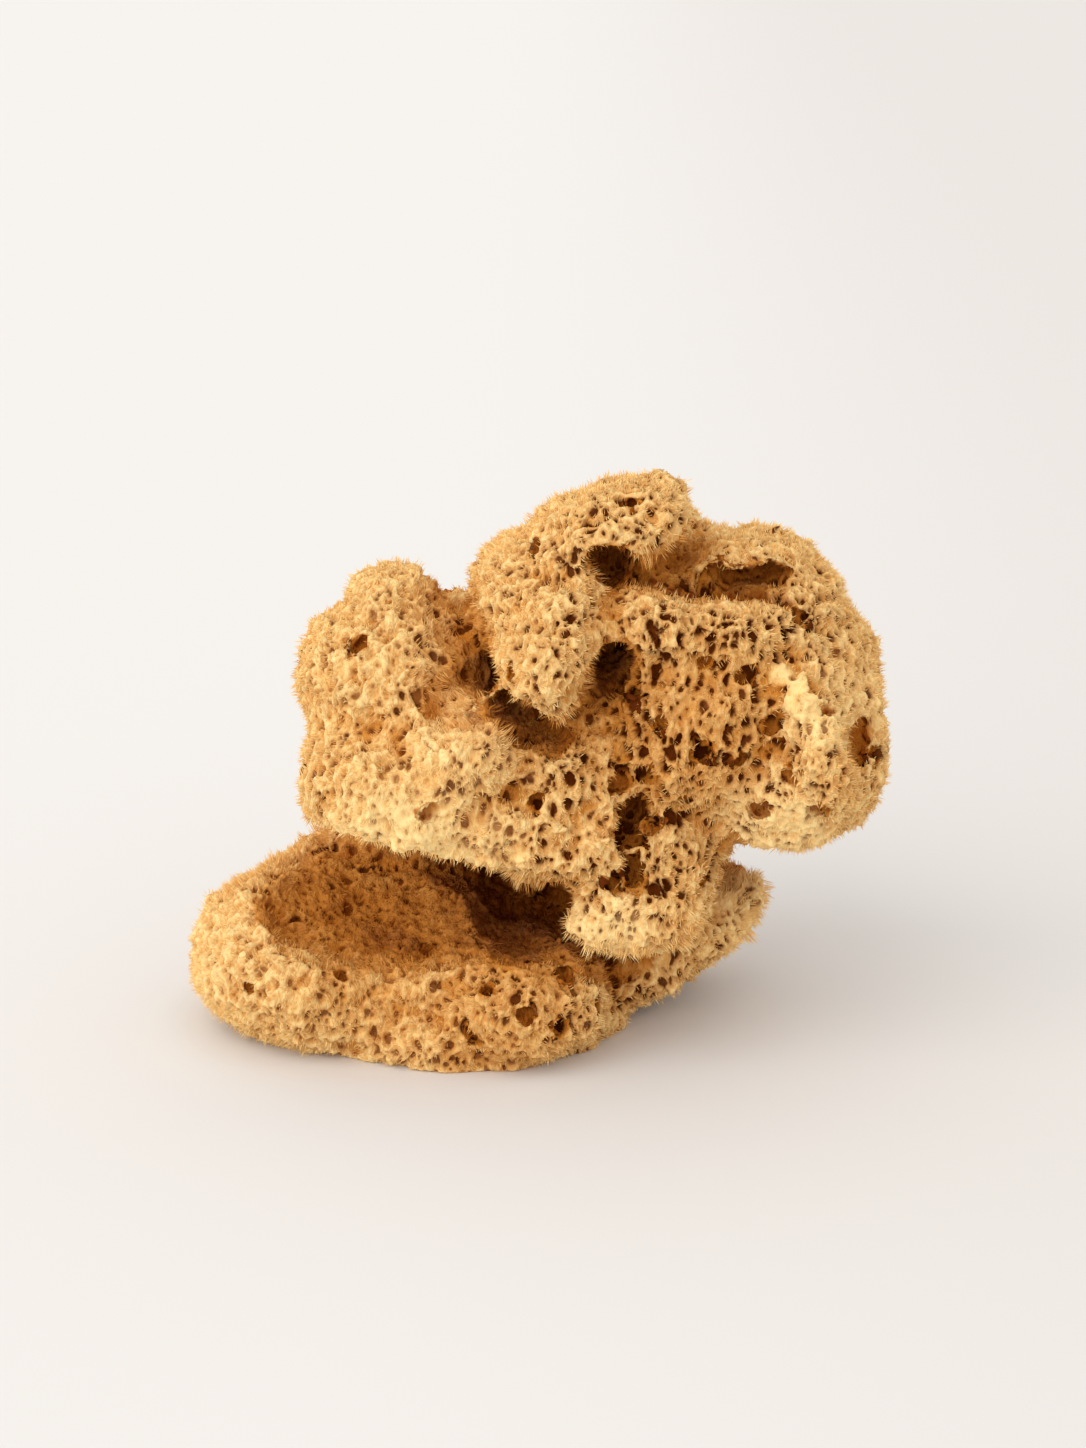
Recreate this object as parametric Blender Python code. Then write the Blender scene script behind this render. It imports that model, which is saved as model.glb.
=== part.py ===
"""A natural sea sponge, grown as one piece: a folded upper mass on a short column over a scooped foot.

Metres, +Z up, +X to the right and +Y away from the viewer. The sponge rests on the flat under its foot. The origin
is on the surface that it rests on, under the middle of the sponge's outline.
"""

import math
import random

import bmesh
import bpy
from mathutils import Matrix, Vector
from mathutils.bvhtree import BVHTree

MM = 0.001

# Driving dimensions of the grown body
UNION_VOXEL = 1.7 * MM
HOLLOW_VOXEL = 1.1 * MM
SMOOTH_FACTOR = 0.5
SMOOTH_TURNS = 5
LOBE_SUBDIVISIONS = 4
LUMP_SPACING = 13 * MM
LUMP_HEIGHT = 3.2 * MM
KNOT_SPACING = 5.5 * MM
KNOT_HEIGHT = 1.8 * MM
BODY_TRIANGLES = 6400
BASE_BLOCK = 300 * MM

# Driving dimensions of the large pores, which are six-sided tapered pits
PIT_SEED = 7
PIT_TRIES = 2600
PIT_SIDES = 6
PIT_RADIUS = (1.2 * MM, 2.2 * MM)
PIT_STRETCH = (1.0, 1.8)
PIT_TAPER = 0.55
PIT_DEPTH_PER_RADIUS = 1.7
PIT_START = 1.6 * MM
PIT_SPACING = 21 * MM
PIT_CLOSE_SPACING = 8.5 * MM
PIT_LOWEST = 6 * MM
PIT_WALL = 9 * MM
PIT_OPEN_AIR = 1 * MM

# Each lobe is (centre, radii, roll in degrees about +Y), in millimetres. The lobes are fused into one body.
LOBES = {
    "upper_left_knob": ((-30.5, 2, 79), (21.5, 26, 18.5), 0),
    "upper_left_peak": ((-31, 4, 89), (12, 20, 13), 0),
    "lower_left_bulge": ((-28.5, -8, 59), (23.5, 27, 19.5), 0),
    "bulge_crest": ((-15.5, -22, 72), (12.5, 15, 11), -35),
    "belly": ((-5, -6, 53), (24.5, 28, 16), 0),
    "thumb": ((2, -24, 91), (10.5, 16, 16), -20),
    "shoulder": ((-2.5, -2, 97.5), (12, 26, 13), 0),
    "top_knob": ((14, -7, 113.5), (19, 20, 9), 17),
    "crown": ((20, 13, 98), (23, 20, 14), 6),
    "right_upper": ((47, 8, 89), (18, 32, 19.5), 0),
    "right_middle": ((51, 6, 75), (22, 34, 24), 0),
    "right_lower": ((52, 4, 62), (23, 34, 21), 0),
    "right_fill": ((41, 0, 94.5), (17, 29, 15.5), 0),
    "right_crest": ((57, -24, 70), (8, 13, 15), 12),
    "face": ((32, -8, 74.5), (23.5, 25, 22.5), 0),
    "face_ledge": ((25, -12, 95.5), (18, 20, 10), -5),
    "core": ((16, 14, 68), (28, 32, 29), 0),
    "core_front": ((12, -9, 65), (17, 19, 17), 0),
    "crest_root": ((3.5, -19, 65.5), (13, 13, 12), 0),
    "back_left": ((-20, 22, 69), (24, 22, 22), 12),
    "back_right": ((34, 26, 73), (25, 20, 25), -14),
    "column": ((22.5, -6, 44), (17.5, 21, 25), 0),
    "column_front": ((11, -19, 50.5), (11, 13, 13), 0),
    "column_back": ((20, 12, 34), (16, 18, 20), 0),
    "flap": ((20.5, -22, 35), (14.5, 9, 10), 0),
    "flap_corner": ((11, -24, 31), (8.5, 6, 4.5), -8),
    "foot_left": ((-47.5, 4, 15), (29, 32, 19.5), 0),
    "foot_middle": ((-17, 6, 5), (38, 36, 17), 0),
    "foot_right": ((24, 17, 13.5), (28, 26, 11), 28),
    "foot_spur": ((40, 14, 22), (11, 14, 5), 33),
    "foot_heel": ((10, 26, 8), (26, 18, 14), 0),
    "foot_saddle": ((-24, 0, 19), (17, 26, 11), 0),
    "foot_front": ((-5, -16, 13), (20, 19, 13.5), 0),
    "foot_back_rim": ((-34, 24, 24), (30, 13, 12), 0),
    "back_wall": ((-16, 26, 36), (32, 12, 19), 0),
}

# Hollows are cut from the fused lobes, written in the same way.
HOLLOWS = {
    "scoop": ((-36, -18, 37), (31, 33, 16), -3),
    "left_valley": ((-17, -40, 86), (14, 23, 6), 58),
    "cave": ((-4, -6, 29), (10.5, 34, 7.5), 0),
    "thumb_hole": ((14.4, -28, 87.5), (4.0, 25, 7.5), -28),
    "knob_crevice": ((22, -30, 107), (15, 25, 2.3), -9),
    "ledge_crevice": ((42, -28, 104), (19, 31, 2.6), -3),
    "knob_pore": ((21.8, -26, 120.5), (2.2, 9, 2.6), 0),
    "knob_pocket": ((14, -30, 111), (4.5, 22, 3), -20),
    "thumb_crevice": ((-2, -32, 77.5), (10.5, 24, 4), -42),
    "column_slit_upper": ((18.5, -30, 55), (2.6, 18, 6), 0),
    "column_slit_lower": ((19, -32, 43.5), (2.2, 18, 4.4), 0),
    "core_hole": ((22, -32, 65.5), (2.2, 18, 2.8), 0),
    "right_pit": ((66, -28, 71), (3, 20, 8), 8),
    "back_fold": ((8, 48, 76), (3.5, 18, 20), 10),
}

# Fields where the large pores crowd together: centre and reach, in millimetres.
PORE_FIELDS = {
    "face": ((32, -32, 70), 21),
    "foot_front": ((2, -32, 14), 16),
    "back": ((30, 42, 70), 18),
}


def clear_scene():
    for obj in list(bpy.data.objects):
        bpy.data.objects.remove(obj)


def link(name, bm):
    """A mesh object in the scene, made from bm."""
    mesh = bpy.data.meshes.new(name)
    bm.to_mesh(mesh)
    bm.free()
    obj = bpy.data.objects.new(name, mesh)
    bpy.context.scene.collection.objects.link(obj)
    return obj


def ellipsoids(name, shapes):
    """One object holding an icosphere for each shape, stretched to its radii and rolled about +Y."""
    bm = bmesh.new()
    for centre, radii, roll in shapes.values():
        place = (
            Matrix.Translation(Vector(centre) * MM)
            @ Matrix.Rotation(math.radians(-roll), 4, "Y")
            @ Matrix.Diagonal((*(r * MM for r in radii), 1))
        )
        bmesh.ops.create_icosphere(bm, subdivisions=LOBE_SUBDIVISIONS, radius=1, matrix=place)
    return link(name, bm)


def add_remesh(obj, voxel):
    """Fuses what overlaps into one skin."""
    remesh = obj.modifiers.new("fuse", "REMESH")
    remesh.mode = "VOXEL"
    remesh.voxel_size = voxel


def add_cut(obj, cutter):
    """Takes the cutter's shape away from the object, and leaves the cutter as a wire guide."""
    cutter.hide_render = True
    cutter.display_type = "WIRE"
    cut = obj.modifiers.new(cutter.name, "BOOLEAN")
    cut.operation = "DIFFERENCE"
    cut.object = cutter


def add_smooth(obj, turns):
    smooth = obj.modifiers.new("smooth", "SMOOTH")
    smooth.factor = SMOOTH_FACTOR
    smooth.iterations = turns


def add_lumps(obj, name, spacing, height):
    """Pushes the surface in and out by a soft noise, as uneven growth does."""
    texture = bpy.data.textures.new(name, "CLOUDS")
    texture.noise_scale = spacing
    texture.noise_depth = 1
    lumps = obj.modifiers.new(name, "DISPLACE")
    lumps.texture = texture
    lumps.texture_coords = "LOCAL"
    lumps.mid_level = 0.5
    lumps.strength = height


def settle(obj):
    """Makes what the modifiers give the object's own mesh, and takes them off."""
    graph = bpy.context.evaluated_depsgraph_get()
    mesh = bpy.data.meshes.new_from_object(obj.evaluated_get(graph))
    obj.modifiers.clear()
    obj.data = mesh


def thin_out(obj, triangles):
    """Brings the mesh down to about this many triangles."""
    settle(obj)
    obj.data.calc_loop_triangles()
    thin = obj.modifiers.new("thin", "DECIMATE")
    thin.ratio = triangles / len(obj.data.loop_triangles)
    thin.use_collapse_triangulate = True


def base_block():
    """The block under the resting plane, which leaves the flat that the foot stands on."""
    bm = bmesh.new()
    down = Matrix.Translation((0, 0, -BASE_BLOCK / 2))
    bmesh.ops.create_cube(bm, size=BASE_BLOCK, matrix=down)
    return link("base_block", bm)


def in_pore_field(point):
    return any(
        (point - Vector(centre) * MM).length < reach * MM
        for centre, reach in PORE_FIELDS.values()
    )


def pit_places(mesh):
    """Yields (point, inward direction, radius, stretch, roll) of each large pore, at seeded places kept apart."""
    rng = random.Random(PIT_SEED)
    faces = [f for f in mesh.polygons if f.center.z > PIT_LOWEST]
    tree = BVHTree.FromPolygons(
        [v.co for v in mesh.vertices],
        [f.vertices for f in mesh.polygons],
    )
    taken = []
    for face in rng.choices(faces, [f.area for f in faces], k=PIT_TRIES):
        point = face.center.copy()
        inward = -face.normal
        apart = PIT_CLOSE_SPACING if in_pore_field(point) else PIT_SPACING
        if any((point - other).length < apart for other in taken):
            continue
        behind = tree.ray_cast(point + inward * PIT_START, inward, PIT_WALL)[0]
        before = tree.ray_cast(point - inward * PIT_OPEN_AIR, -inward, PIT_WALL)[0]
        if behind or before:
            continue
        taken.append(point)
        yield point, inward, rng.uniform(*PIT_RADIUS), rng.uniform(*PIT_STRETCH), rng.uniform(0, math.pi)


def pits(mesh):
    """One object holding a tapered cutter for each large pore."""
    bm = bmesh.new()
    for point, inward, radius, stretch, roll in pit_places(mesh):
        length = PIT_START + radius * PIT_DEPTH_PER_RADIUS
        middle = point + inward * (length / 2 - PIT_START)
        turn = inward.to_track_quat("Z", "Y").to_matrix().to_4x4() @ Matrix.Rotation(roll, 4, "Z")
        bmesh.ops.create_cone(
            bm,
            cap_ends=True,
            segments=PIT_SIDES,
            radius1=radius,
            radius2=radius * PIT_TAPER,
            depth=length,
            matrix=Matrix.Translation(middle) @ turn @ Matrix.Diagonal((stretch, 1, 1, 1)),
        )
    return link("pits", bm)


def centre_over_origin(obj):
    """Moves the mesh so that the middle of its outline, seen from above, is over the origin."""
    xs = [v.co.x for v in obj.data.vertices]
    ys = [v.co.y for v in obj.data.vertices]
    middle = Vector((min(xs) + max(xs), min(ys) + max(ys), 0)) / 2
    obj.data.transform(Matrix.Translation(-middle))


def sponge_material():
    material = bpy.data.materials.new("sponge_fibre")
    material.use_nodes = True
    shader = material.node_tree.nodes["Principled BSDF"]
    shader.inputs["Base Color"].default_value = (0.72, 0.5, 0.24, 1)
    shader.inputs["Roughness"].default_value = 0.9
    shader.inputs["Metallic"].default_value = 0.0
    return material


def main():
    clear_scene()
    sponge = ellipsoids("sponge", LOBES)
    add_remesh(sponge, UNION_VOXEL)
    hollows = ellipsoids("hollows", HOLLOWS)
    add_remesh(hollows, HOLLOW_VOXEL)
    add_cut(sponge, hollows)
    add_remesh(sponge, UNION_VOXEL)
    add_smooth(sponge, SMOOTH_TURNS)
    add_lumps(sponge, "lumps", LUMP_SPACING, LUMP_HEIGHT)
    add_lumps(sponge, "knots", KNOT_SPACING, KNOT_HEIGHT)
    thin_out(sponge, BODY_TRIANGLES)
    add_cut(sponge, base_block())
    settle(sponge)
    add_cut(sponge, pits(sponge.data))
    settle(sponge)
    centre_over_origin(sponge)
    sponge.data.shade_smooth()
    sponge.data.materials.clear()
    sponge.data.materials.append(sponge_material())


main()
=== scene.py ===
"""The looks of a natural sea sponge: its porous skin, its tufts of fibre, and a plain pale studio."""

import math

import bmesh
import bpy
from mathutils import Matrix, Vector


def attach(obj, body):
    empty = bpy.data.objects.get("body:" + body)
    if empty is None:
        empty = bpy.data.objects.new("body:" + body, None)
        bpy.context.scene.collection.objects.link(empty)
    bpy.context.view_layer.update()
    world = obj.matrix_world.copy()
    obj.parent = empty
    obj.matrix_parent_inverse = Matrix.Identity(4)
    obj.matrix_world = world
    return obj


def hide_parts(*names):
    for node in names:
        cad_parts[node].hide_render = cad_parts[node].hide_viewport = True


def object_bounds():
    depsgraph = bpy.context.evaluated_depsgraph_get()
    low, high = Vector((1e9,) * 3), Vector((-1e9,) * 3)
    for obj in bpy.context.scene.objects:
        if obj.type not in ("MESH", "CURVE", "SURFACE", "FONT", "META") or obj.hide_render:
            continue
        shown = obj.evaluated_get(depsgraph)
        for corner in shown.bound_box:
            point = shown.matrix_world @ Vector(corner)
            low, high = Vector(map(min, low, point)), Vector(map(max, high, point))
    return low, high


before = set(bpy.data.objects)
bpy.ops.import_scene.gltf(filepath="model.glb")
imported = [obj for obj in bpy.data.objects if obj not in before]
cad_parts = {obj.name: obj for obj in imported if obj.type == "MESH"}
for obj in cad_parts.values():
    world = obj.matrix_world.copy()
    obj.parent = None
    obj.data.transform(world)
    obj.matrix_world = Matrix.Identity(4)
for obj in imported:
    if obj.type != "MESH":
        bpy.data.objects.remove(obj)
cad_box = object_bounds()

# The skin. One grown sheet of felted fibre covers the whole sponge. It is pierced by pores about 0.5
# to 3 mm wide, each at the bottom of a soft funnel, and the walls between them rise to ragged crests.

MM = 0.001


class Socket:
    """A node's output. Python's operators on it add Math or Vector Math nodes to its tree."""

    def __init__(self, tree, source=None):
        self.tree = tree
        self.source = source

    def node(self, kind, settings=None, inputs=None, out=0):
        """Adds a node: its settings first, then its inputs, which are values or links. Gives its output."""
        made = self.tree.nodes.new(kind)
        for name, value in (settings or {}).items():
            setattr(made, name, value)
        for name, value in (inputs or {}).items():
            if isinstance(name, int):
                socket = made.inputs[name]
            else:
                socket = next(s for s in made.inputs if s.name == name and s.enabled)
            if isinstance(value, Socket):
                self.tree.links.new(value.source, socket)
            else:
                socket.default_value = value
        if isinstance(out, int):
            return Socket(self.tree, made.outputs[out])
        return Socket(self.tree, next(s for s in made.outputs if s.name == out and s.enabled))

    def math(self, operation, first, second=0.0):
        """One Math node, or one Vector Math node where either value is a vector."""
        pair = (first, second)
        if any(isinstance(v, tuple) or isinstance(v, Socket) and v.source.type in ("VECTOR", "RGBA")
               for v in pair):
            pair = [v if isinstance(v, (Socket, tuple)) else (v, v, v) for v in pair]
            kind = "ShaderNodeVectorMath"
        else:
            kind = "ShaderNodeMath"
        return self.node(kind, {"operation": operation}, {0: pair[0], 1: pair[1]})

    def __add__(self, other):
        return self.math("ADD", self, other)

    def __radd__(self, other):
        return self.math("ADD", other, self)

    def __sub__(self, other):
        return self.math("SUBTRACT", self, other)

    def __rsub__(self, other):
        return self.math("SUBTRACT", other, self)

    def __mul__(self, other):
        return self.math("MULTIPLY", self, other)

    def __rmul__(self, other):
        return self.math("MULTIPLY", other, self)

    def __truediv__(self, other):
        return self.math("DIVIDE", self, other)

    def most(self, other):
        return self.math("MAXIMUM", self, other)

    def least(self, other):
        return self.math("MINIMUM", self, other)

    def rise(self, low, high, start=0.0, end=1.0):
        """A smooth step from start to end as this goes from low to high."""
        return self.node(
            "ShaderNodeMapRange",
            {"interpolation_type": "SMOOTHSTEP"},
            {"Value": self, "From Min": low, "From Max": high, "To Min": start, "To Max": end},
        )

    def dot(self, other):
        return self.node("ShaderNodeVectorMath", {"operation": "DOT_PRODUCT"}, {0: self, 1: other}, "Value")

    def length(self):
        return self.node("ShaderNodeVectorMath", {"operation": "LENGTH"}, {0: self}, "Value")

    def unit(self):
        return self.node("ShaderNodeVectorMath", {"operation": "NORMALIZE"}, {0: self})

    def height(self):
        return self.node("ShaderNodeSeparateXYZ", {}, {0: self}, "Z")

    def other(self, name):
        """Another output of the node that gave this one."""
        return Socket(self.tree, self.source.node.outputs[name])

    def noise(self, size, detail=2.0, seed=0.0, out=0):
        """Noise read here, with lumps of about this size. Its out "Color" is three noises in one."""
        return self.node(
            "ShaderNodeTexNoise",
            {"noise_dimensions": "4D"},
            {"Vector": self, "W": seed, "Scale": 1 / size, "Detail": detail},
            out,
        )

    def ridges(self, size, width, seed):
        """Winding lines, about this far apart and this wide for their size: 1 on their crests, else 0."""
        off = self.math("ABSOLUTE", self.noise(size, 1.0, seed) - 0.5)
        return (1 - off * (1 / width)).most(0.0)

    def wander(self, size, reach, seed):
        """A vector that turns this way and that over the position, of up to about this reach."""
        return (self.noise(size, 1.0, seed, "Color") - (0.5, 0.5, 0.5)) * (reach * 2)

    def stored(self, name, kind="FLOAT"):
        """The mesh's own attribute of this name."""
        return self.node("GeometryNodeInputNamedAttribute", {"data_type": kind}, {"Name": name})

    def store(self, name, value):
        """This geometry with one more point attribute."""
        kind = "FLOAT_VECTOR" if value.source.type == "VECTOR" else "FLOAT"
        return self.node("GeometryNodeStoreNamedAttribute", {"data_type": kind, "domain": "POINT"},
                         {"Geometry": self, "Name": name, "Value": value})

    def nearest(self, spot, name=None):
        """What the nearest of these points to the spot holds under this name, or its position."""
        index = self.node("GeometryNodeSampleNearest", {"domain": "POINT"},
                          {"Geometry": self, "Sample Position": spot})
        value = self.stored(name, "FLOAT_VECTOR") if name else self.node("GeometryNodeInputPosition")
        return self.node("GeometryNodeSampleIndex", {"data_type": "FLOAT_VECTOR", "domain": "POINT"},
                         {"Geometry": self, "Value": value, "Index": index})

    def chance(self, seed):
        """A random number from 0 to 1 for each point."""
        return self.node("FunctionNodeRandomValue", {"data_type": "FLOAT"}, {"Seed": seed}, "Value")

    def blend(self, share, first, second):
        """A colour that goes from the first to the second as the share goes from 0 to 1."""
        return self.node("ShaderNodeMix", {"data_type": "RGBA"},
                         {"Factor": share, "A": first, "B": second}, "Result")


def new_tree(name, sizes):
    """A Geometry Nodes tree with these named inputs. Gives a socket to build with, and the inputs."""
    tree = bpy.data.node_groups.new(name, "GeometryNodeTree")
    tree.interface.new_socket("Mesh", in_out="OUTPUT", socket_type="NodeSocketGeometry")
    tree.interface.new_socket("Mesh", in_out="INPUT", socket_type="NodeSocketGeometry")
    for label, value in sizes.items():
        kind = {float: "Float", int: "Int", tuple: "Vector"}.get(type(value)) or value.bl_rna.name
        tree.interface.new_socket(label, in_out="INPUT", socket_type="NodeSocket" + kind)
    entry = tree.nodes.new("NodeGroupInput")
    return Socket(tree), {s.name: Socket(tree, s) for s in entry.outputs if s.name}


def close_tree(mesh, given):
    """Keeps the result inside the box of its corners, gives it its material and joins it to the output."""
    place = mesh.node("GeometryNodeInputPosition")
    kept = place.most(given["Low corner"]).least(given["High corner"])
    mesh = mesh.node("GeometryNodeSetPosition", {}, {"Geometry": mesh, "Position": kept})
    mesh = mesh.node("GeometryNodeSetMaterial", {}, {"Geometry": mesh, "Material": given["Material"]})
    leave = mesh.tree.nodes.new("NodeGroupOutput")
    mesh.tree.links.new(mesh.source, leave.inputs[0])
    return mesh.tree


def grow(obj, tree, sizes, name):
    """Runs the tree on the object with these sizes, and gives what it makes as a new plain mesh object."""
    grown = obj.modifiers.new(tree.name, "NODES")
    grown.node_group = tree
    for item in tree.interface.items_tree:
        if item.in_out == "INPUT" and item.name in sizes:
            grown[item.identifier] = sizes[item.name]
    graph = bpy.context.evaluated_depsgraph_get()
    mesh = bpy.data.meshes.new_from_object(obj.evaluated_get(graph), preserve_all_data_layers=True,
                                           depsgraph=graph)
    obj.modifiers.remove(grown)
    made = bpy.data.objects.new(name, mesh)
    bpy.context.scene.collection.objects.link(made)
    return made


def even_copy(node, grid, rounding):
    """A copy of a CAD node as one closed mesh of even small faces, with its hard edges rounded."""
    bm = bmesh.new()
    bm.from_mesh(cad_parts[node].data)
    bmesh.ops.remove_doubles(bm, verts=bm.verts, dist=0.001 * MM)
    mesh = bpy.data.meshes.new(node + "_even")
    bm.to_mesh(mesh)
    bm.free()
    obj = bpy.data.objects.new(node + "_even", mesh)
    bpy.context.scene.collection.objects.link(obj)
    remesh = obj.modifiers.new("even", "REMESH")
    remesh.mode = "VOXEL"
    remesh.voxel_size = grid
    smooth = obj.modifiers.new("round", "SMOOTH")
    smooth.factor = 0.5
    smooth.iterations = rounding
    return obj


SKIN_GRID = 0.46 * MM
SKIN_ROUNDING = 18
# The pores' three kinds: how far apart, the smallest and the largest radius in mm, the seed, and the
# share of the full depth
PORES = ((3.2, 0.65, 1.35, 3.0, 1.0), (2.0, 0.4, 0.85, 8.0, 0.75), (1.5, 0.2, 0.5, 17.0, 0.5))
FUNNEL_WIDTH = 0.6 * MM
RIDGE_SPACINGS = (3.2 * MM, 2.2 * MM)
LUMP_SPACING = 6 * MM
KNOT_SPACING = 2.4 * MM
BEND_SPACING, BEND_REACH = 5 * MM, 1.5 * MM
LEVEL_HEIGHT = 0.8 * MM
NEIGHBOURHOOD = 70
GRAIN_RISE = 0.66
VIEWS = 28
VIEW_START = 0.4 * MM
GOLDEN_ANGLE = math.pi * (3 - math.sqrt(5))


def sponge_relief(s, grain, open_share):
    """The skin's forms at a place: its pores, the funnels round them, and the ridges of the walls between."""
    pore = funnel = None
    for apart, smallest, largest, seed, deep in PORES:
        cell = s.node("ShaderNodeTexVoronoi", {},
                      {"Vector": grain + (seed, seed, seed), "Scale": 1 / (apart * MM)})
        off = cell * (apart * MM)
        pick = s.node("ShaderNodeSeparateXYZ", {}, {0: cell.other("Color")})
        rim = (smallest + (largest - smallest) * pick) * (0.4 + 0.75 * open_share) * MM
        hole = off.rise(rim, rim * 0.6)
        slope = off.rise(rim + FUNNEL_WIDTH, rim)
        pore = hole * deep if pore is None else pore.most(hole * deep)
        funnel = slope if funnel is None else funnel.most(slope)
    coarse, fine = RIDGE_SPACINGS
    ridge = grain.ridges(coarse, 0.16, 1.0).most(grain.ridges(fine, 0.13, 4.0))
    return pore, funnel, ridge


# Soft patches on the sponge, as (middle, reach, strength), in mm. First the amber patches of painted shade,
# where shade falls in the scoop under the upper mass, under the knob, in the left valley and on the right
# face
PAINTED_SHADE_PATCHES = (
    ((30, -33, 74), 28, 0.7),
    ((-8, -36, 14), 26, 0.7),
    ((-34, -34, 22), 24, 0.7),
    ((14, -18, 109), 11, 0.9),
    ((-36, -6, 28), 28, 0.6),
    ((-14, -38, 84), 13, 0.7),
    ((62, -30, 66), 10, 0.6),
)
# Creases and deep holes, which are pressed in further and painted deep amber as shade
CREVICES = (
    ((12, -16, 107.5), 7, 1.0),
    ((14, -20, 104), 7, 0.9),
    ((15.5, -15, 105.5), 7, 1.0),
    ((19, -18, 104), 6.5, 1.0),
    ((22.5, -19, 102.5), 6, 1.0),
    ((26.5, -18, 101), 6, 1.0),
    ((30.5, -16.5, 99.5), 6, 1.0),
    ((35, -16.5, 99.5), 6, 1.0),
    ((39.5, -16, 99.5), 6, 1.0),
    ((44.5, -16.5, 99), 5.5, 0.9),
    ((49.5, -17.5, 98.5), 5, 0.8),
    ((14, -24, 87), 7, 1.0),
    ((-3, -27, 77), 8, 1.0),
    ((-14, -33, 81), 6, 0.8),
    ((-3, -8, 31), 15, 1.0),
    ((-7, 14, 26), 13, 1.0),
    ((4, 15, 24), 12, 1.0),
    ((59, -31, 79.5), 2.6, 1.0),
    ((19, -25, 53), 5, 0.8),
    ((19, -25, 43), 5, 0.8),
    ((66, -26, 70), 5, 0.7),
)
# Patches of painted light, cream where the sponge is lit, with smaller pores
PAINTED_LIGHT_PATCHES = (
    ((-26, -34, 48), 25, 1.0),
    ((-74, -10, 16), 20, 0.4),
    ((14, -32, 30), 14, 1.0),
    ((-18, -34, 74), 13, 0.5),
    ((56, -32, 78), 9, 0.9),
    ((50, -34, 66), 10, 0.5),
    ((48, -30, 52), 18, 0.9),
    ((64, -20, 78), 14, 0.5),
    ((43, 4, 28), 14, 0.9),
)
# Smooth waxy flakes on the right crest
FLAKES = (
    ((49.5, -28.5, 87), 3.2, 1.0),
    ((53, -30, 85), 3.4, 1.0),
    ((51, -31.5, 82), 2.6, 1.0),
    ((55.5, -31.5, 82.5), 3.0, 1.0),
    ((56, -33, 78.5), 2.8, 1.0),
)
PATCH_FRAY = 6.0
CREVICE_FRAY = 2.0
FLAKE_FRAY = 1.0


def patches(place, spots, fray=PATCH_FRAY):
    """How strong the strongest of these patches is at a place, with outlines frayed by this many mm."""
    frayed = place + place.wander(1.5 * fray * MM, fray * MM, 33.0)
    strong = None
    for middle, reach, strength in spots:
        off = (frayed - tuple(m * MM for m in middle)).length()
        one = off.rise(reach * MM, reach * 0.35 * MM, 0.0, strength)
        strong = one if strong is None else strong.most(one)
    return strong


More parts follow.
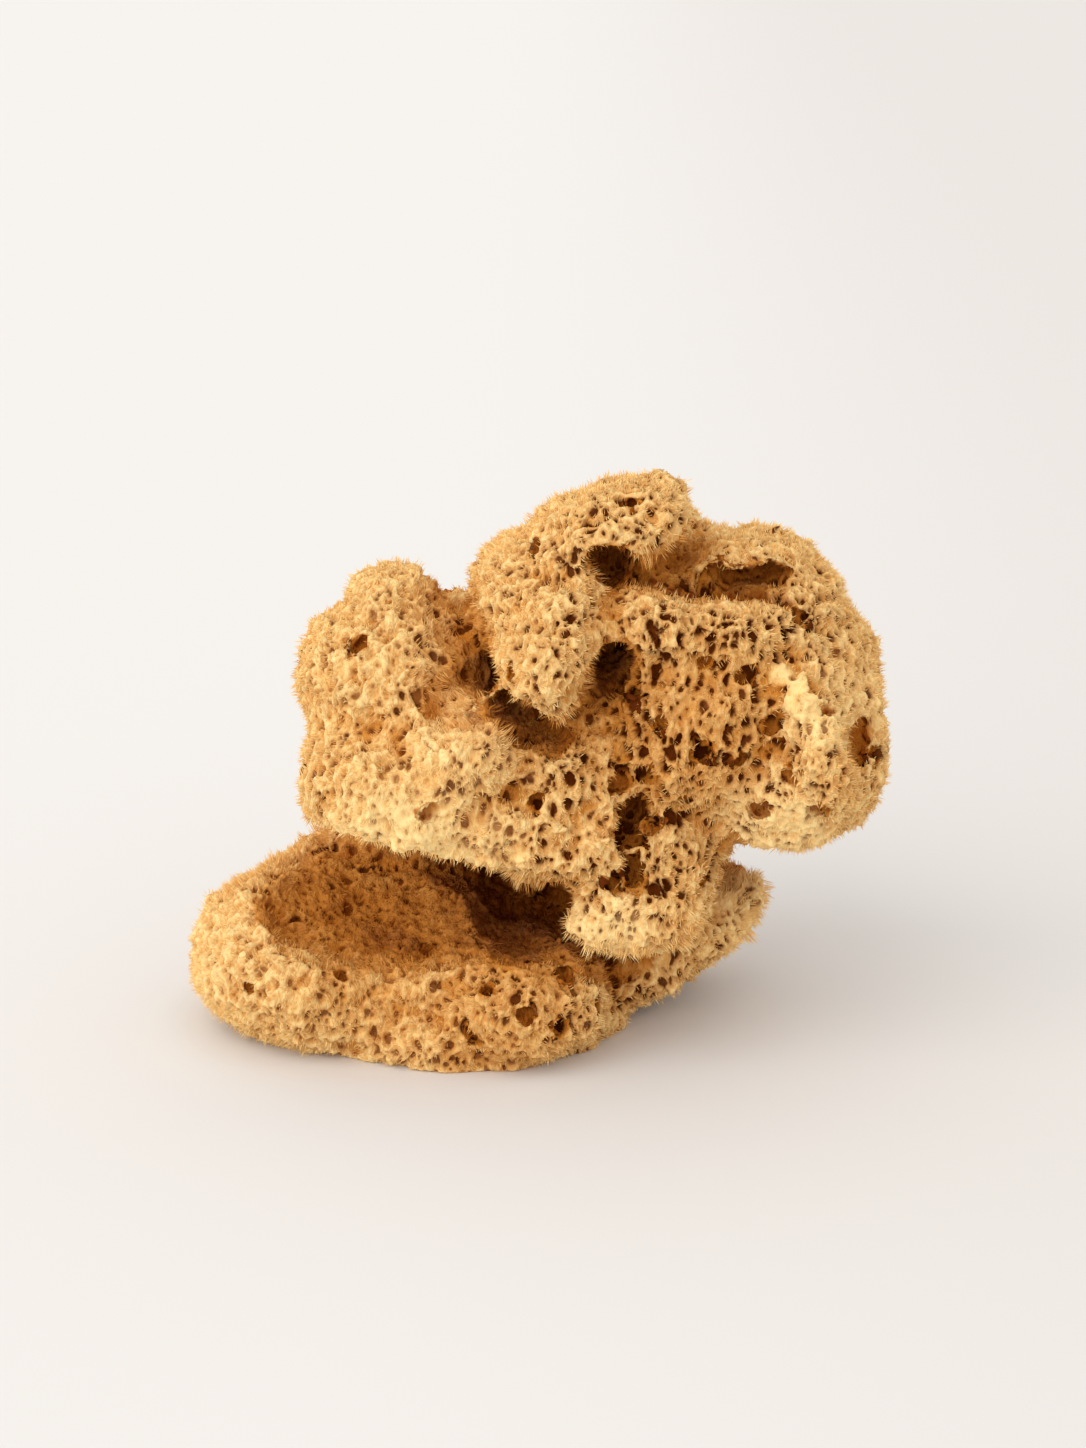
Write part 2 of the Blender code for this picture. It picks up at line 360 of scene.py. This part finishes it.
def skin_tree():
    """Shapes the sheet, and stores on it what the material and the tufts read."""
    s, given = new_tree("porous_skin", SKIN_SIZES)
    place = s.node("GeometryNodeInputPosition")
    facing = s.node("GeometryNodeInputNormal")
    low = place.height().rise(0.0, LEVEL_HEIGHT)

    # Hidden: how much of the view from a place is shut off by the sponge itself, which the materials darken
    # as painted shade. The patches of painted light count as more open
    solid = s.node("GeometryNodeObjectInfo", {}, {"Object": given["Solid"]}, "Geometry")
    shut, seen = 0.0, 0.0
    for view in range(VIEWS):
        up = 1 - 2 * (view + 0.5) / VIEWS
        turn = view * GOLDEN_ANGLE
        way = (math.cos(turn) * math.sqrt(1 - up * up), math.sin(turn) * math.sqrt(1 - up * up), up)
        share = facing.dot(way).most(0.0)
        hit = s.node("GeometryNodeRaycast", {}, {
            "Target Geometry": solid, "Source Position": place + facing * VIEW_START,
            "Ray Direction": way, "Ray Length": given["Longest view"],
        }, "Is Hit")
        shut, seen = hit * share + shut, share + seen
    hidden = s.node("GeometryNodeBlurAttribute", {"data_type": "FLOAT"},
                    {"Value": shut / seen, "Iterations": 4})
    body = given["Mesh"].store("hidden", hidden * (1 - 0.6 * patches(place, PAINTED_LIGHT_PATCHES)))

    # Uneven growth in soft lumps and knots, which also bend the outlines of the solid's round pits
    lumps = (place.noise(LUMP_SPACING, 2) - 0.5) * given["Lump height"]
    flake = patches(place, FLAKES, FLAKE_FRAY)
    knots = (place.noise(KNOT_SPACING, 2, 3.0) - 0.5) * given["Knot height"] + flake * given["Flake height"]
    bend = place.wander(BEND_SPACING, BEND_REACH, 16.0)
    groove = patches(place, CREVICES, CREVICE_FRAY) * given["Crevice depth"]
    body = s.node("GeometryNodeSetPosition", {}, {
        "Geometry": body, "Offset": (facing * (lumps + knots - given["Inset"] - groove) + bend) * low})
    body = body.store("out", facing)

    # Swell: how far a place stands out of the middle of its neighbourhood
    middle = s.node("GeometryNodeBlurAttribute", {"data_type": "FLOAT_VECTOR"},
                    {"Value": place, "Iterations": NEIGHBOURHOOD})
    body = body.store("swell", (place - middle).dot(facing))

    # Grain: the place that every finer form is read at. It wanders, so that no pore is a true circle, and
    # it is pressed together upwards, so that pores and ridges are longer up and down than across
    grain = place + place.wander(1.3 * MM, 0.35 * MM, 9.0) + place.wander(6.0 * MM, 1.6 * MM, 12.0)
    body = body.store("grain", grain * (1, 1, GRAIN_RISE))
    swell = s.stored("swell")
    wall = s.node("GeometryNodeRaycast", {}, {
        "Target Geometry": solid, "Source Position": place - facing * (0.5 * MM),
        "Ray Direction": facing * -1.0, "Ray Length": 20 * MM}, "Hit Distance")
    thick = wall.rise(1.5 * MM, 6 * MM) * swell.rise(2.0 * MM, 0.9 * MM)

    # Open: how wide the pores stand. They are widest on the right face, and closer on the crown and the foot
    sideways = s.node("ShaderNodeSeparateXYZ", {}, {0: place}, "X")
    open_share = sideways.rise(-34 * MM, 22 * MM, 0.8, 1.2) * sideways.rise(50 * MM, 66 * MM, 1.0, 0.78)
    open_share = open_share * place.height().rise(94 * MM, 110 * MM, 1.0, 0.8)
    open_share = open_share * place.height().rise(18 * MM, 34 * MM, 0.88, 1.0)
    open_share = open_share * (0.7 + 0.3 * place.noise(9 * MM, 1, 30.0).rise(0.35, 0.6))
    body = body.store("open", open_share * (1 - 0.35 * patches(place, PAINTED_LIGHT_PATCHES)) * (1 - flake))

    # The relief, which fades where the wall is too thin to be pierced
    pore, funnel, ridge = sponge_relief(s, s.stored("grain", "FLOAT_VECTOR"), s.stored("open"))
    lift = (ridge * (1 - flake) * given["Ridge height"] * swell.rise(-1.5 * MM, 0.8 * MM, 0.4, 1.15)
            - funnel * given["Funnel depth"] - pore * given["Pore depth"] * s.stored("open") * thick)
    body = body.store("pore", pore).store("ridge", ridge)
    body = s.node("GeometryNodeSetPosition", {}, {"Geometry": body, "Offset": facing * (lift * low)})
    return close_tree(body, given)


# One middle for each piece of the skin, in mm: the sheet is cut there only to keep each file small
LOBES = {
    "foot_left": (-36, 0, 20),
    "foot_right": (16, 2, 18),
    "bulge": (-30, 2, 72),
    "waist": (8, -2, 57),
    "crown": (12, 5, 100),
    "shoulder": (50, 2, 75),
}

lobe_middles = bpy.data.objects.new("lobe_middles", bpy.data.meshes.new("lobe_middles"))
lobe_middles.data.from_pydata([Vector(middle) * MM for middle in LOBES.values()], [], [])
bpy.context.scene.collection.objects.link(lobe_middles)


def one_lobe_tree():
    """Keeps the faces of the skin that are closest to one of the middles."""
    s, given = new_tree("one_lobe", ONE_LOBE_SIZES)
    middles = s.node("GeometryNodeObjectInfo", {}, {"Object": given["Middles"]}, "Geometry")
    closest = s.node("GeometryNodeSampleNearest", {"domain": "POINT"}, {"Geometry": middles})
    here = s.node("FunctionNodeCompare", {"data_type": "INT", "operation": "EQUAL"},
                  {"A": closest, "B": given["Lobe"]})
    here = s.node("GeometryNodeFieldOnDomain", {"data_type": "BOOLEAN", "domain": "FACE"}, {"Value": here})
    return close_tree(s.node("GeometryNodeSeparateGeometry", {"domain": "FACE"},
                             {"Geometry": given["Mesh"], "Selection": here}), given)


# The palette: the cream below is painted light on strands and lit patches, honey and straw are the sponge's
# own tones, and the three darker colours are painted shade in gaps, funnels, pores, hollows and crevices
CREAM_LIGHT = (0.95, 0.715, 0.33, 1)
STRAW = (0.86, 0.49, 0.145, 1)
HONEY = (0.72, 0.33, 0.06, 1)
AMBER_SHADE = (0.55, 0.19, 0.02, 1)
DEEP_AMBER_SHADE = (0.20, 0.028, 0.001, 1)
PORE_SHADE = (0.13, 0.026, 0.002, 1)


def painted_light_share(s, place, least, most):
    """How much cream a strand gets as painted light: most in the open, least where it is hidden, and less in
    the patches of painted shade and in the crevices.
    """
    hidden = s.node("ShaderNodeAttribute", {"attribute_name": "hidden"}, {}, "Fac")
    return hidden.rise(0.1, 0.55, most, least) * (1 - 0.65 * patches(place, PAINTED_SHADE_PATCHES)) * (
        1 - 0.8 * patches(place, CREVICES, CREVICE_FRAY))


def tint_and_painted_shading(s, place):
    """The sponge's colours: its own straw and honey patches, cream painted as light on the lit patches, and
    amber painted as shade in the shade patches, hollows, hidden parts and crevices.
    """
    hidden, swell = (s.node("ShaderNodeAttribute", {"attribute_name": name}, {}, "Fac")
                     for name in ("hidden", "swell"))
    patch = place.noise(16 * MM, 3, 2.0).rise(0.36, 0.64)
    fleck = place.noise(2.6 * MM, 3, 4.0).rise(0.3, 0.7)
    tint = s.blend(patch * 0.5 + fleck * 0.5, HONEY, STRAW)
    # Painted light: cream on the lit patches
    tint = s.blend(patches(place, PAINTED_LIGHT_PATCHES), tint, CREAM_LIGHT)
    # Painted shade: amber in the shade patches
    tint = s.blend(patches(place, PAINTED_SHADE_PATCHES), tint, s.blend(fleck, AMBER_SHADE, HONEY))
    # Painted shade: hollows that sink below their neighbourhood turn amber, and deeper ones deep amber
    tint = s.blend(swell.rise(-0.2 * MM, -1.4 * MM, 0.0, 0.7), tint, AMBER_SHADE)
    tint = s.blend(swell.rise(-1.0 * MM, -2.4 * MM, 0.0, 0.7), tint, DEEP_AMBER_SHADE)
    # Painted shade: hidden parts and crevices turn amber, and the most hidden and the crevices deep amber
    tint = s.blend(hidden.rise(0.15, 0.6, 0.0, 0.85), tint, AMBER_SHADE)
    crevice_shade = patches(place, CREVICES, CREVICE_FRAY)
    tint = s.blend(crevice_shade.rise(0.0, 0.5, 0.0, 0.9), tint, AMBER_SHADE)
    tint = s.blend(hidden.rise(0.45, 0.95, 0.0, 0.9).most(crevice_shade.rise(0.3, 1.0)), tint, DEEP_AMBER_SHADE)
    return s.blend(patches(place, FLAKES, FLAKE_FRAY).rise(0.1, 0.6, 0.0, 0.6), tint, STRAW)


def skin_material():
    """Cream strands over amber gaps, with funnels and deep amber pores: the cream on the strands in the open
    is painted light, and the amber of the gaps, funnels and pores is painted shade.
    """
    material = bpy.data.materials.new("felted_skin")
    material.use_nodes = True
    shader = material.node_tree.nodes["Principled BSDF"]
    s = Socket(material.node_tree)
    place = s.node("ShaderNodeTexCoord", {}, {}, "Object")
    grain = s.node("ShaderNodeAttribute", {"attribute_name": "grain"}, {}, "Vector")
    swell, open_share = (s.node("ShaderNodeAttribute", {"attribute_name": name}, {}, "Fac")
                         for name in ("swell", "open"))
    pore, funnel, ridge = sponge_relief(s, grain, open_share)
    long = grain * (1, 1, 0.45)
    strands = long.ridges(1.5 * MM, 0.11, 21.0).most(long.ridges(1.1 * MM, 0.1, 22.0))
    strands = strands.most(grain.ridges(1.1 * MM, 0.08, 23.0) * 0.8)
    colour = tint_and_painted_shading(s, place)
    # Rough: 1 on plain felt, less in the patches of painted light, and 0 on the waxy flakes
    rough = (1 - patches(place, FLAKES, FLAKE_FRAY)) * (1 - 0.6 * patches(place, PAINTED_LIGHT_PATCHES))
    # Pale: how much painted light the strands get, most in the open and on the parts that swell out
    pale = painted_light_share(s, place, 0.1, 0.85) * swell.rise(-1.0 * MM, 0.3 * MM)
    # The gaps between strands and the funnels are painted amber as shade, and the pores deep amber and brown
    # as shade, more where they stand wide
    gap = (1 - ridge.most(strands)) * place.noise(1.1 * MM, 2, 6.0).rise(0.35, 0.6) * rough
    colour = s.blend(gap * (0.25 + 0.35 * open_share), colour, AMBER_SHADE)
    colour = s.blend(ridge.most(strands) * pale, colour, CREAM_LIGHT)
    colour = s.blend(funnel * 0.5 * rough, colour, AMBER_SHADE)
    colour = s.blend(pore.rise(0.05, 0.8) * open_share.rise(0.5, 1.0, 0.45, 1.0), colour,
                     s.blend(open_share.rise(0.6, 0.95), DEEP_AMBER_SHADE, PORE_SHADE))
    s.tree.links.new(colour.source, shader.inputs["Base Color"])
    shader.inputs["Roughness"].default_value = 0.8
    shader.inputs["Specular IOR Level"].default_value = 0.06
    bump = s.node("ShaderNodeBump", {}, {"Strength": 0.8, "Distance": 0.3 * MM,
                                         "Height": (strands - pore * 0.8) * rough})
    s.tree.links.new(bump.source, shader.inputs["Normal"])
    return material


def dress(piece):
    """Attaches a piece of the sponge to the root body and hides the CAD sponge it stands in for."""
    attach(piece, "root")
    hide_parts("sponge")


felted_skin = skin_material()
SKIN_SIZES = {
    "Inset": 0.9 * MM,
    "Lump height": 2.6 * MM,
    "Knot height": 0.9 * MM,
    "Crevice depth": 2.8 * MM,
    "Flake height": 1.5 * MM,
    "Pore depth": 1.8 * MM,
    "Funnel depth": 0.45 * MM,
    "Ridge height": 0.65 * MM,
    "Longest view": 45 * MM,
    "Solid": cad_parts["sponge"],
    "Low corner": tuple(cad_box[0]),
    "High corner": tuple(cad_box[1]),
    "Material": felted_skin,
}
base = even_copy("sponge", SKIN_GRID, SKIN_ROUNDING)
skin = grow(base, skin_tree(), SKIN_SIZES, "skin")
ONE_LOBE_SIZES = {
    "Middles": lobe_middles,
    "Lobe": 0,
    "Low corner": tuple(cad_box[0]),
    "High corner": tuple(cad_box[1]),
    "Material": felted_skin,
}
one_lobe = one_lobe_tree()
lobes = {}
for number, lobe in enumerate(LOBES):
    lobes[lobe] = grow(skin, one_lobe, {**ONE_LOBE_SIZES, "Lobe": number}, "skin_" + lobe)
    lobes[lobe].data.shade_smooth()
    dress(lobes[lobe])
for spare in (base, skin, lobe_middles):
    bpy.data.objects.remove(spare)

# The tufts. Loose ends of the same fibre stand out of the walls between the pores. They lean
# together in flame-like tufts 1 to 3 mm tall, which are longest on the sharp crests.

FIBRE_BEND = -1.6
FRINGE_REACH, FRINGE_CORE = 8 * MM, 3 * MM
STRAY_REACH = 0.5 * MM
STRAY_SCATTER = 40.0
# The most to a square metre, before the spacing thins them out
TUFT_CROWD, FIBRE_CROWD = 1.0e6, 1.2e7


def fibre():
    """A bent spindle of six faces, one unit long: a root, a belly of three corners, and a tip."""
    belly = [(math.cos(a) + FIBRE_BEND, math.sin(a), 0.4) for a in (0.0, math.tau / 3, math.tau * 2 / 3)]
    mesh = bpy.data.meshes.new("fibre")
    mesh.from_pydata([(0, 0, -0.1), *belly, (0, 0, 1)], [],
                     [(0, 2, 1), (0, 3, 2), (0, 1, 3), (1, 2, 4), (2, 3, 4), (3, 1, 4)])
    along = mesh.attributes.new("along", "FLOAT", "POINT")
    along.data.foreach_set("value", (0.0, 0.4, 0.4, 0.4, 1.0))
    obj = bpy.data.objects.new("fibre", mesh)
    bpy.context.scene.collection.objects.link(obj)
    return obj


def fibre_material():
    """The skin's colours with its painted light and shade, amber painted as shade at the root of each fibre,
    and straw and cream painted as light towards the tip where the fibre is in the open.
    """
    material = bpy.data.materials.new("loose_fibre")
    material.use_nodes = True
    shader = material.node_tree.nodes["Principled BSDF"]
    s = Socket(material.node_tree)
    place = s.node("ShaderNodeTexCoord", {}, {}, "Object")
    along, tone = (s.node("ShaderNodeAttribute", {"attribute_name": name}, {}, "Fac")
                   for name in ("along", "tone"))
    colour = tint_and_painted_shading(s, place)
    colour = s.blend(along.rise(0.4, 0.0, 0.0, 0.3), colour, AMBER_SHADE)
    colour = s.blend(along.rise(0.0, 0.6) * painted_light_share(s, place, 0.1, 0.9), colour, STRAW)
    colour = s.blend(along.rise(0.1, 0.7) * tone.rise(0.9, 0.3) * painted_light_share(s, place, 0.0, 1.0), colour, CREAM_LIGHT)
    s.tree.links.new(colour.source, shader.inputs["Base Color"])
    shader.inputs["Roughness"].default_value = 0.65
    shader.inputs["Specular IOR Level"].default_value = 0.1
    return material


# Points along the edges that wear a longer fringe, in mm
FRINGES = {
    "bulge_crest": ((-20, -24, 83), (-12, -28, 80), (-6, -30, 75)),
    "foot_back_rim": ((-64, 4, 30), (-56, 14, 33), (-46, 22, 35), (-36, 25, 36), (-26, 26, 36)),
    "foot_spur": ((35, 8, 24), (41, 6, 27), (47, 8, 29), (50, 14, 28), (46, 2, 22)),
    "flap_edge": ((4, -28, 29), (12, -30, 26), (22, -30, 26), (31, -26, 29)),
    "thumb_edge": ((-5, -36, 79), (2, -37, 76), (9, -36, 78), (13, -31, 86)),
    "belly_edge": ((-42, -24, 45), (-29, -30, 42), (-15, -30, 41), (-2, -28, 40)),
    "knob_edge": ((15, -26, 108), (24, -26, 109), (33, -22, 111)),
    "ledge_edge": ((37, -20, 107), (44, -20, 107), (51, -17, 107)),
}
loose_fibre = fibre_material()
one_fibre = fibre()
fringe_points = bpy.data.objects.new("fringe_points", bpy.data.meshes.new("fringe_points"))
fringe_points.data.from_pydata([Vector(point) * MM for line in FRINGES.values() for point in line], [], [])
bpy.context.scene.collection.objects.link(fringe_points)
TUFT_SIZES = {
    "Fibre": one_fibre,
    "Fringes": fringe_points,
    "Fibre spacing": 0.55 * MM,
    "Tuft spacing": 2.2 * MM,
    "Height": 1.5 * MM,
    "Crest height": 1.6 * MM,
    "Thickness": 0.09 * MM,
    "Lean": 1.0,
    "Low corner": tuple(cad_box[0]),
    "High corner": tuple(cad_box[1]),
    "Material": loose_fibre,
    "Seed": 31,
}


def tuft_tree():
    """Grows fibres out of the walls between the pores, leaning together in tufts."""
    s, given = new_tree("tufts", TUFT_SIZES)
    place = s.node("GeometryNodeInputPosition")
    out = s.stored("out", "FLOAT_VECTOR")
    open_wall = (1 - s.stored("pore").rise(0.05, 0.4)) * place.height().rise(0.1 * MM, 0.5 * MM)
    open_wall = open_wall * s.stored("hidden").rise(0.45, 0.85, 1.0, 0.25)
    open_wall = open_wall * s.stored("swell").rise(-1.3 * MM, -0.3 * MM)
    open_wall = open_wall * (1 - patches(place, CREVICES, CREVICE_FRAY))
    open_wall = open_wall * (1 - patches(place, FLAKES, FLAKE_FRAY))
    fringes = s.node("GeometryNodeObjectInfo", {}, {"Object": given["Fringes"]}, "Geometry")
    fringe = (fringes.nearest(place) - place).length().rise(FRINGE_REACH, FRINGE_CORE)
    ridge = s.stored("swell").rise(0.0, 2.2 * MM).most(fringe)

    # The tuft's peak: what the fibres round it lean towards
    tufts = s.node("GeometryNodeDistributePointsOnFaces", {"distribute_method": "POISSON"},
                   {"Mesh": given["Mesh"], "Distance Min": given["Tuft spacing"], "Density Max": TUFT_CROWD,
                    "Density Factor": open_wall * s.stored("ridge").rise(0.0, 0.6, 0.2, 1.0),
                    "Seed": given["Seed"]}, "Points")
    flow = place.wander(11 * MM, 1.6, 14.0) + place.wander(3 * MM, 1.0, 15.0)
    flow = flow - out * flow.dot(out)
    tall = (given["Height"] + given["Crest height"] * ridge) * (0.55 + 0.75 * s.chance(1))
    tufts = tufts.store("peak", place + (out + flow * given["Lean"]).unit() * tall)

    # Each fibre stands on its own root, and leans more or less towards the nearest peak
    roots = s.node("GeometryNodeDistributePointsOnFaces", {"distribute_method": "POISSON"},
                   {"Mesh": given["Mesh"], "Distance Min": given["Fibre spacing"], "Density Max": FIBRE_CROWD,
                    "Density Factor": open_wall * (0.5 + 0.5 * fringe), "Seed": given["Seed"] + 1}, "Points")
    peak = tufts.nearest(place, "peak")
    own = (out + flow * given["Lean"]).unit() * given["Height"]
    own = own + (place * STRAY_SCATTER).wander(0.7 * MM, STRAY_REACH, 17.0)
    share = 0.1 + 0.45 * s.chance(2)
    run = (peak - place) * share + own * (1 - share)
    run = run * (0.6 + 0.6 * s.chance(3) + 0.5 * ridge)
    turn = s.node("FunctionNodeAxesToRotation", {"primary_axis": "Z", "secondary_axis": "X"},
                  {"Primary Axis": run, "Secondary Axis": out})
    wide = given["Thickness"] * (0.7 + 0.7 * s.chance(4))
    size = s.node("ShaderNodeCombineXYZ", {}, {"X": wide, "Y": wide, "Z": run.length()})
    roots = roots.store("tone", s.chance(5))
    shape = s.node("GeometryNodeObjectInfo", {}, {"Object": given["Fibre"]}, "Geometry")
    made = s.node("GeometryNodeInstanceOnPoints", {},
                  {"Points": roots, "Instance": shape, "Rotation": turn, "Scale": size})
    return close_tree(s.node("GeometryNodeRealizeInstances", {}, {"Geometry": made}), given)


tufts = tuft_tree()
for number, lobe in enumerate(LOBES):
    sizes = {**TUFT_SIZES, "Seed": TUFT_SIZES["Seed"] + 10 * number}
    piece = grow(lobes[lobe], tufts, sizes, "tufts_" + lobe)
    piece.data.shade_flat()
    dress(piece)
for spare in (one_fibre, fringe_points):
    bpy.data.objects.remove(spare)

# The studio. The sponge stands on a seamless pale floor in soft daylight that comes from the upper
# left and front, and the camera looks down on it a little.

PHOTO_SCALE = 0.2128 * MM
PHOTO_HEIGHT = 1448
LENS = 85.0
SENSOR = 36.0
CAMERA_ELEVATION = math.radians(18)
AIM = Vector((1.17 * MM, 0, 67.1 * MM))
FLOOR_SIZE = 12
PAPER_LEFT, PAPER_RIGHT_SHADE = (0.75, 0.731, 0.71, 1), (0.682, 0.655, 0.632, 1)
SKY_COLOUR, SKY_STRENGTH = (1.0, 0.99, 0.975, 1), 0.96
SUN_COLOUR, SUN_STRENGTH, SUN_WIDTH = (1.0, 0.98, 0.95), 1.58, math.radians(70)
SUN_WAY = Vector((0.8, 0.88, -0.8))

bpy.ops.mesh.primitive_plane_add(size=FLOOR_SIZE)
floor = bpy.context.object
floor.name = "floor"
pale = bpy.data.materials.new("pale_paper")
pale.use_nodes = True
s = Socket(pale.node_tree)
# The paper is painted darker towards the right, as painted shade for the light's falloff across the floor
sideways = s.node("ShaderNodeSeparateXYZ", {}, {0: s.node("ShaderNodeTexCoord", {}, {}, "Object")}, "X")
paper = s.blend(sideways.rise(-60 * MM, 260 * MM), PAPER_LEFT, PAPER_RIGHT_SHADE)
shader = pale.node_tree.nodes["Principled BSDF"]
s.tree.links.new(paper.source, shader.inputs["Base Color"])
shader.inputs["Roughness"].default_value = 0.9
shader.inputs["Specular IOR Level"].default_value = 0.1
floor.data.materials.append(pale)

world = bpy.data.worlds.new("studio")
bpy.context.scene.world = world
world.use_nodes = True
world.node_tree.nodes["Background"].inputs["Color"].default_value = SKY_COLOUR
world.node_tree.nodes["Background"].inputs["Strength"].default_value = SKY_STRENGTH

key = bpy.data.lights.new("key", "SUN")
key.energy = SUN_STRENGTH
key.angle = SUN_WIDTH
key.color = SUN_COLOUR
key_object = bpy.data.objects.new("key", key)
key_object.rotation_euler = SUN_WAY.to_track_quat("-Z", "Y").to_euler()
bpy.context.scene.collection.objects.link(key_object)

back = Vector((0, -math.cos(CAMERA_ELEVATION), math.sin(CAMERA_ELEVATION)))
camera = bpy.data.objects.new("camera", bpy.data.cameras.new("camera"))
camera.data.lens = LENS
camera.data.sensor_width = SENSOR
camera.data.clip_start = 0.01
camera.data.clip_end = 20
camera.location = AIM + back * (LENS / SENSOR * PHOTO_HEIGHT * PHOTO_SCALE)
camera.rotation_euler = (-back).to_track_quat("-Z", "Y").to_euler()
bpy.context.scene.collection.objects.link(camera)
bpy.context.scene.camera = camera
bpy.context.scene.view_settings.view_transform = "Standard"
